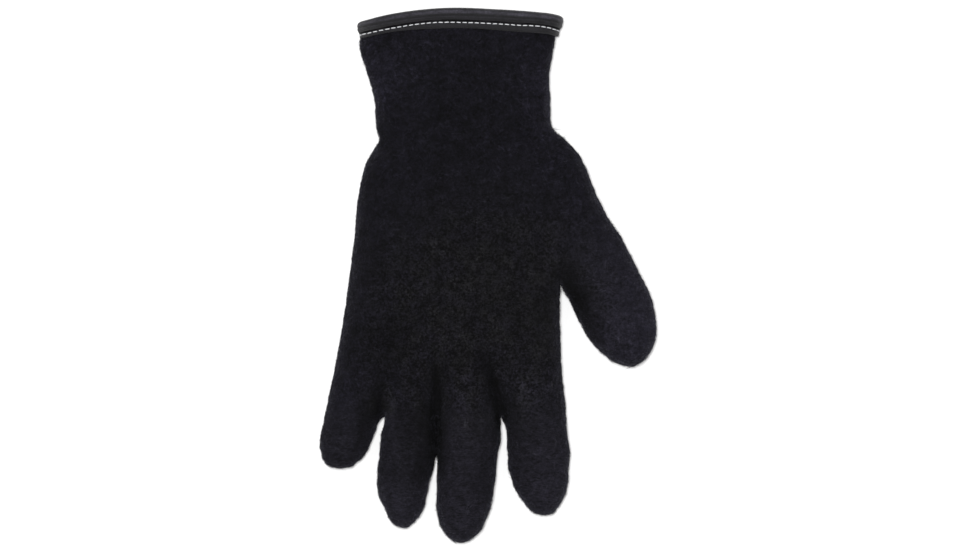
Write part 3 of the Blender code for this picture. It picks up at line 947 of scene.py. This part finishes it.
FOLD_Z = 14  # how high the folds lie, in mm
DARKEST = 0.16  # the lowest that folds make the knit's shade

# Where the nap is painted a darker neutral grey as shade besides the middle of the hand, in the thumb's
# crease and the valleys between the fingers: centre and reach, in mm
PAINTED_SHADE_VALLEYS = [((43, -14, 12), 24), ((-28, -64, 14), 22), ((4, -58, 14), 18), ((-54, -60, 14), 18)]

COURSE_SCALE = 0.31 / MM / 1.3  # the wave texture's scale for the knit's courses

# Where the cloth is painted a neutral grey as shade too, in the middle of the hand and in the thumb's
# crease: centre and reach in mm, and by what share
PAINTED_SHADE_GREY_PLACES = [((10, -4, 24), 62, 0.55), ((38, 8, 22), 26, 0.35)]


def painted_light_and_shade(n):
    """How much lighter or darker the knit is painted: painted highlights and painted shade over the parts
    in the two tables above.
    """
    total = None
    places = [((x, y, z), reach, share, (1.0, 1.0, 1.0)) for x, y, z, reach, share in PAINTED_HIGHLIGHTS_AND_SHADE]
    places += [((x, y, FOLD_Z), reach, share, FOLD_SHAPE) for x, y, reach, share in PAINTED_FOLD_SHADE_AND_RIDGE_LIGHT]
    for centre, reach, share, shape in places:
        value = n.maths("MULTIPLY", n.near(centre, reach, shape), share)
        total = n.maths("ADD", total, value) if total else value
    return n.maths("MAXIMUM", n.maths("ADD", total, 1.0), DARKEST)


def toned(n, tone, factor, even):
    """The colour, lighter or darker by the factor, which carries the painted highlights and painted shade,
    and by the mottle of the nap.
    """
    return n.scaled(tone, n.maths("MULTIPLY", factor, mottle(n, even)))


def evenness(n):
    """1 on the fingers and the thumb, where the nap lies even; 0 on the hand and the cuff."""
    down = n.maths("MULTIPLY", n.add("ShaderNodeSeparateXYZ", Vector=n.place).outputs["Y"], -1.0)
    thumb = n.ramp(n.near((62, -16, 12), 58), 0.0, 0.45, 0.0, 0.5)
    return n.maths("MAXIMUM", n.ramp(down, 52 * MM, 78 * MM), thumb)


def mottle(n, even):
    """Light and dark patches of the brushed nap at every size, stronger over the palm and knuckles.

    Where the nap is even they are weaker and drawn out across the fingers.
    """
    broad = n.maths("SUBTRACT", n.noise(3 * MM, 3.0, 0.8, stretch=(0.6, 1.3, 1.0)), 0.5)
    fine = n.maths("SUBTRACT", n.noise(0.9 * MM, 2.0, 0.7, stretch=(0.5, 1.4, 1.0)), 0.5)
    smooth = n.maths("ADD", n.maths("MULTIPLY", broad, 2.8), n.maths("MULTIPLY", fine, 3.6))
    over_palm = n.ramp(n.near((0, -30, 20), 96), 0.0, 0.6)
    broad = n.maths("SUBTRACT", n.noise(5 * MM, 4.0, 0.9), 0.5)
    fine = n.maths("SUBTRACT", n.noise(1.2 * MM, 2.0, 0.8), 0.5)
    broad = n.maths("MULTIPLY", broad, n.ramp(over_palm, 0.0, 1.0, 4.0, 6.8))
    fine = n.maths("MULTIPLY", fine, n.ramp(over_palm, 0.0, 1.0, 2.6, 7.5))
    rough = n.maths("ADD", broad, fine)
    change = n.maths("SUBTRACT", smooth, rough)
    factor = n.maths("ADD", n.maths("ADD", rough, n.maths("MULTIPLY", change, even)), 1.0)
    return n.maths("MINIMUM", n.maths("MAXIMUM", factor, 0.20), n.ramp(over_palm, 0.0, 1.0, 1.6, 2.1))


def knit_material(name, shade):
    """Brushed knit: blue-black yarn, lighter where the nap stands, with painted shade making it greyer in
    the middle of the hand and the thumb's crease, and painted highlights and painted shade over parts of
    the glove.
    """
    n = Nodes(name)
    blotch = n.ramp(n.noise(24 * MM, 2.0), 0.35, 0.68)
    tuft = n.ramp(n.noise(2.4 * MM, 3.0, 0.62), 0.34, 0.66)
    grain = n.ramp(n.noise(0.55 * MM, 2.0, 0.6), 0.30, 0.72)
    tone = n.mix(tuft, colour(DEEP, shade), colour(YARN, shade))
    grain = n.maths("MULTIPLY", grain, n.maths("MULTIPLY", blotch, 0.55))
    tone = n.mix(grain, tone, colour(PALE, shade))
    # painted shade: the middle of the hand and the thumb's crease turn a neutral grey
    palm, thumb_crease = (n.maths("MULTIPLY", n.near(*place), share) for *place, share in PAINTED_SHADE_GREY_PLACES)
    tone = n.mix(n.maths("MAXIMUM", palm, thumb_crease), tone, colour(PAINTED_SHADE_GREY, shade))
    # painted highlights and painted shade scale the knit's colour, together with the nap's mottle
    n.feed(n.shader.inputs["Base Color"], toned(n, tone, painted_light_and_shade(n), evenness(n)))
    n.shader.inputs["Roughness"].default_value = 0.95
    n.shader.inputs["Specular IOR Level"].default_value = 0.12
    n.shader.inputs["Sheen Weight"].default_value = 0.05
    n.shader.inputs["Sheen Roughness"].default_value = 0.5
    n.shader.inputs["Sheen Tint"].default_value = colour(KNIT_SHEEN)
    wave = n.add("ShaderNodeTexWave", Vector=n.place, Scale=COURSE_SCALE, Distortion=2.0, Detail=2.0)
    wave.bands_direction = "Y"
    wave.inputs["Detail Scale"].default_value = 1.2
    n.bump([(wave.outputs["Fac"], 0.10), (n.noise(0.8 * MM, 3.0), 0.35)])
    return n.material


def fibre_material(name, low, high, tint, even_tint):
    """Loose fibres, coloured by the place where they lie, from the low to the high value of their tint,
    with painted highlights and painted shade over them.

    even_tint is the tint where the nap lies even, on the fingers and the thumb.
    """
    n = Nodes(name)
    even = evenness(n)
    share = n.ramp(n.noise(1.5 * MM, 3.0, 0.68), 0.34, 0.66)
    blotch = n.ramp(n.noise(19 * MM, 2.0), 0.30, 0.72, 0.45, 1.0)
    share = n.maths("MULTIPLY", share, blotch)
    change = n.maths("SUBTRACT", 0.40, share)
    share = n.maths("ADD", share, n.maths("MULTIPLY", change, n.maths("MULTIPLY", even, 0.6)))
    dark = n.mix(even, colour(tint, low), colour(even_tint, low))
    light = n.mix(even, colour(tint, high), colour(even_tint, high))
    tone = n.mix(share, dark, light)
    patch = n.ramp(n.noise(9 * MM, 2.0), 0.36, 0.64, 0.35, 1.0)
    # painted shade: the middle of the hand, the thumb's crease and the valleys between the fingers turn a
    # darker neutral grey
    middle = n.ramp(n.near((-4, -18, 24), 86), 0.0, 0.7)
    for centre, reach in PAINTED_SHADE_VALLEYS:
        middle = n.maths("MAXIMUM", middle, n.ramp(n.near(centre, reach), 0.0, 0.6))
    middle = n.maths("MULTIPLY", middle, patch)
    grey = n.tree.nodes.new("ShaderNodeHueSaturation")
    grey.inputs["Saturation"].default_value = 0.20
    grey.inputs["Value"].default_value = 0.92
    n.feed(grey.inputs["Color"], tone)
    tone = n.mix(middle, tone, grey.outputs["Color"])
    # painted highlights and painted shade scale the fibres' colour; the sheen follows them and is weaker in
    # the painted shade
    factor = painted_light_and_shade(n)
    n.feed(n.shader.inputs["Base Color"], toned(n, tone, factor, even))
    n.feed(n.shader.inputs["Sheen Weight"], n.ramp(factor, 0.0, 1.0, 0.0, 0.10))
    n.shader.inputs["Sheen Roughness"].default_value = 0.35
    n.shader.inputs["Sheen Tint"].default_value = colour(NAP_SHEEN)
    n.shader.inputs["Roughness"].default_value = 0.9
    n.shader.inputs["Specular IOR Level"].default_value = 0.15
    return n.material


def tape_material():
    n = Nodes("binding_tape_woven")
    weave = n.add("ShaderNodeTexWave", Vector=n.place, Scale=1.1 / MM, Distortion=0.6, Detail=1.0)
    weave.bands_direction = "DIAGONAL"
    along = n.noise(3.0 * MM, 2.0, 0.5, stretch=(0.25, 1.6, 1.6))
    tone = n.mix(n.ramp(along, 0.3, 0.7), colour(TAPE_DARK), colour(TAPE_LIGHT))
    tone = n.mix(n.maths("MULTIPLY", weave.outputs["Fac"], 0.35), tone, colour(TAPE_WEAVE))
    # painted highlight over the fold and painted shade in the grooves, from the tape's points
    band = n.tree.nodes.new("ShaderNodeAttribute")
    band.attribute_name = "lighter"
    uneven = n.ramp(n.noise(5 * MM, 2.0), 0.3, 0.7, 0.75, 1.25)
    factor = n.maths("ADD", n.maths("MULTIPLY", band.outputs["Fac"], uneven), 1.0)
    grain = n.ramp(n.noise(0.9 * MM, 3.0, 0.7), 0.34, 0.66, 0.68, 1.32)
    n.feed(n.shader.inputs["Base Color"], n.scaled(tone, n.maths("MULTIPLY", factor, grain)))
    n.shader.inputs["Roughness"].default_value = 0.72
    # the painted shade also dims the tape's gloss and sheen, so the groove above the stitches shows dark
    n.feed(n.shader.inputs["Specular IOR Level"], n.ramp(factor, 0.3, 0.8, 0.05, 0.29))
    n.feed(n.shader.inputs["Sheen Weight"], n.ramp(factor, 0.3, 0.8, 0.0, 0.08))
    n.bump([(weave.outputs["Fac"], 0.08), (n.noise(0.6 * MM, 2.0), 0.10)])
    return n.material


def thread_material():
    n = Nodes("stitching_thread")
    fibre = n.noise(0.35 * MM, 2.0, 0.5, stretch=(0.4, 1.6, 1.6))
    tone = n.mix(n.ramp(fibre, 0.3, 0.7), colour(THREAD_DARK), colour(THREAD_LIGHT))
    n.feed(n.shader.inputs["Base Color"], tone)
    n.shader.inputs["Roughness"].default_value = 0.6
    n.bump([(fibre, 0.06)])
    return n.material


def region(kind):
    """How dense the nap is over the cuff, hand, thumb or fingers: full above, thin below."""

    def weight(points, normals):
        base = 0.10 + 0.90 * ease((normals[:, 2] + 0.75) / 0.9)
        under_tape = ease((points[:, 1] - TAPE_Y) / (2 * MM))
        x, y = points[:, 0], points[:, 1]
        thumb = (x > THUMB_X) & (y < CUFF_Y)
        finger = (y < FINGERS_Y) & ~thumb
        cuff = (y > CUFF_Y) & ~thumb
        masks = {"thumb": thumb, "fingers": finger, "cuff": cuff, "hand": ~(thumb | finger | cuff)}
        return base * masks[kind] * (1 - under_tape)

    return weight


def facing_up(points, normals):
    """1 where the cloth faces up, below the tape."""
    return ease((normals[:, 2] - 0.72) / 0.2) * (points[:, 1] < LONG_NAP_Y)


def brushed(points, normals):
    """Where the locks lie: most of them on the cuff and the hand's upper part."""
    return facing_up(points, normals) * (0.08 + ease((points[:, 1] - 20 * MM) / (45 * MM)))


def at_the_edges(points, normals):
    """Where the fringe stands: the steep cloth round the fingertips, the thumb and the cuff."""
    tips = ease((-88 * MM - points[:, 1]) / (12 * MM)) + ease((points[:, 0] - 50 * MM) / (12 * MM))
    sides = ease((points[:, 1] - 45 * MM) / (10 * MM)) * (points[:, 1] < LONG_NAP_Y)
    upright = ease((0.75 - normals[:, 2]) / 0.3) * ease((normals[:, 2] + 0.25) / 0.2)
    return upright * np.clip(0.10 + tips + 0.8 * sides, 0.0, 1.0)


# Each fibre material: its darkest and lightest value, its tint on the hand and where the nap lies even
SHORT_FIBRES = ("nap_fibres", 0.0020, 0.0060, (1.0, 0.90, 1.62), (1.0, 0.92, 1.39))
LONG_FIBRES = ("nap_long_fibres", 0.0040, 0.0120, (1.0, 0.92, 1.50), (1.0, 0.94, 1.34))
# the fringe's fibres are painted pale: a painted highlight round the rims of the fingertips, the thumb and
# the cuff
FRINGE_FIBRES_PAINTED_RIM_LIGHT = ("nap_fringe_painted_rim_light", 0.0095, 0.0290, (1.0, 0.95, 1.24), (1.0, 0.95, 1.24))

# How many fibres lie on each part, and how large: length, width and lift in mm
NAP_COUNTS = {"cuff": 38000, "hand": 60000, "thumb": 19000, "fingers": 47000}
NAP_SIZE = (1.9, 0.26, 0.42)
LONG_COUNT = 1800
LONG_SIZE = (4.0, 0.18, 0.50)
LOCK_COUNT = 360
LOCK_STRANDS = 12
LOCK_SIZE = (4.6, 0.22, 0.70, 0.30)  # and how far apart its strands lie
FRINGE_COUNT = 7500
FRINGE_SIZE = (1.1, 0.13, 0.80)
KNIT_SHADE = 0.93  # the cloth under the nap, against the colours above
INSIDE_SHADE = 1.2


def build():
    outer, inner = shell_sides()
    shell = cloth_tree(outer)
    fitted(outer, 3)
    fitted(inner, 2)
    smooth = subdivided(outer, 3)
    settled(smooth, shell)
    inside = subdivided(inner, 2)
    cuff = Cuff(smooth, CUFF_STEPS)
    relief(smooth)

    knit = knit_material("brushed_knit_cloth", KNIT_SHADE)
    outside = new_object("knit_outside", smooth, knit)
    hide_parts("knit_shell")
    knit = knit_material("brushed_knit_inside", INSIDE_SHADE)
    new_object("knit_inside", inside, knit)

    short, long = fibre_material(*SHORT_FIBRES), fibre_material(*LONG_FIBRES)
    for seed, (kind, count) in enumerate(NAP_COUNTS.items()):
        nap("nap_" + kind, smooth, short, count, region(kind), NAP_SIZE, 20 + seed)
    nap("nap_long", smooth, long, LONG_COUNT, facing_up, LONG_SIZE, 30, spread=1.2, steps=5, bend=1.0)
    locks("nap_locks", smooth, long, LOCK_COUNT, LOCK_STRANDS, brushed, LOCK_SIZE, 31)
    # pale fibres that paint a highlight round the glove's rims
    fringe = fibre_material(*FRINGE_FIBRES_PAINTED_RIM_LIGHT)
    nap("nap_fringe", smooth, fringe, FRINGE_COUNT, at_the_edges, FRINGE_SIZE, 32, spread=1.6, bend=0.9)

    stitches = round(cuff.length / STITCH_PITCH)
    tape = new_object("binding_tape", tape_mesh(cuff, stitches), tape_material())
    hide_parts("cuff_binding")
    thread = thread_material()
    for name, out, sign in (
        ("stitches_outside", CLEARANCE + TAPE - PINCH, 1),
        ("stitches_inside", -WALL - CLEARANCE - TAPE, -1),
    ):
        new_object(name, stitch_mesh(cuff, stitches, out, sign), thread)


# Lights, each aimed at the glove: place, size in metres and watts. The key is almost overhead, so that the
# floor shows white between the fingers
LIGHTS = {"key": ((-0.12, 0.14, 3.6), 0.5, 128.0), "fill": ((-0.75, 0.80, 1.6), 0.7, 4.5)}
WORLD_STRENGTH = 0.32
FLOOR_HALF = 6


def add_light(name, place, size, watts):
    light = bpy.data.lights.new(name, "AREA")
    light.shape = "SQUARE"
    light.size = size
    light.energy = watts
    lamp = bpy.data.objects.new(name, light)
    lamp.location = place
    lamp.rotation_euler = (-Vector(place)).to_track_quat("-Z", "Y").to_euler()
    bpy.context.scene.collection.objects.link(lamp)


def stage():
    corners = [(x * FLOOR_HALF, y * FLOOR_HALF, FLOOR_Z) for x, y in ((-1, -1), (1, -1), (1, 1), (-1, 1))]
    floor_mesh = mesh_from("floor", corners, [(0, 1, 2, 3)])
    n = Nodes("pale_floor")
    n.shader.inputs["Base Color"].default_value = colour(FLOOR_TONE)
    n.shader.inputs["Roughness"].default_value = 0.9
    n.shader.inputs["Specular IOR Level"].default_value = 0.0
    floor_mesh.materials.append(n.material)
    floor = bpy.data.objects.new("floor", floor_mesh)
    bpy.context.scene.collection.objects.link(floor)

    world = bpy.data.worlds.new("studio")
    bpy.context.scene.world = world
    world.use_nodes = True
    background = world.node_tree.nodes["Background"]
    background.inputs["Color"].default_value = colour(WHITE)
    background.inputs["Strength"].default_value = WORLD_STRENGTH
    for name, (place, size, watts) in LIGHTS.items():
        add_light(name, place, size, watts)

    camera = bpy.data.cameras.new("camera")
    camera.sensor_width = SENSOR
    camera.lens = SENSOR * (CAMERA_HEIGHT - SILHOUETTE_HEIGHT) / FRAME_WIDTH
    camera.clip_end = 20
    view = bpy.data.objects.new("camera", camera)
    view.location = (CAMERA_SHIFT, CAMERA_SHIFT, CAMERA_HEIGHT)
    bpy.context.scene.collection.objects.link(view)
    bpy.context.scene.camera = view
    bpy.context.scene.view_settings.view_transform = "Standard"


build()
stage()
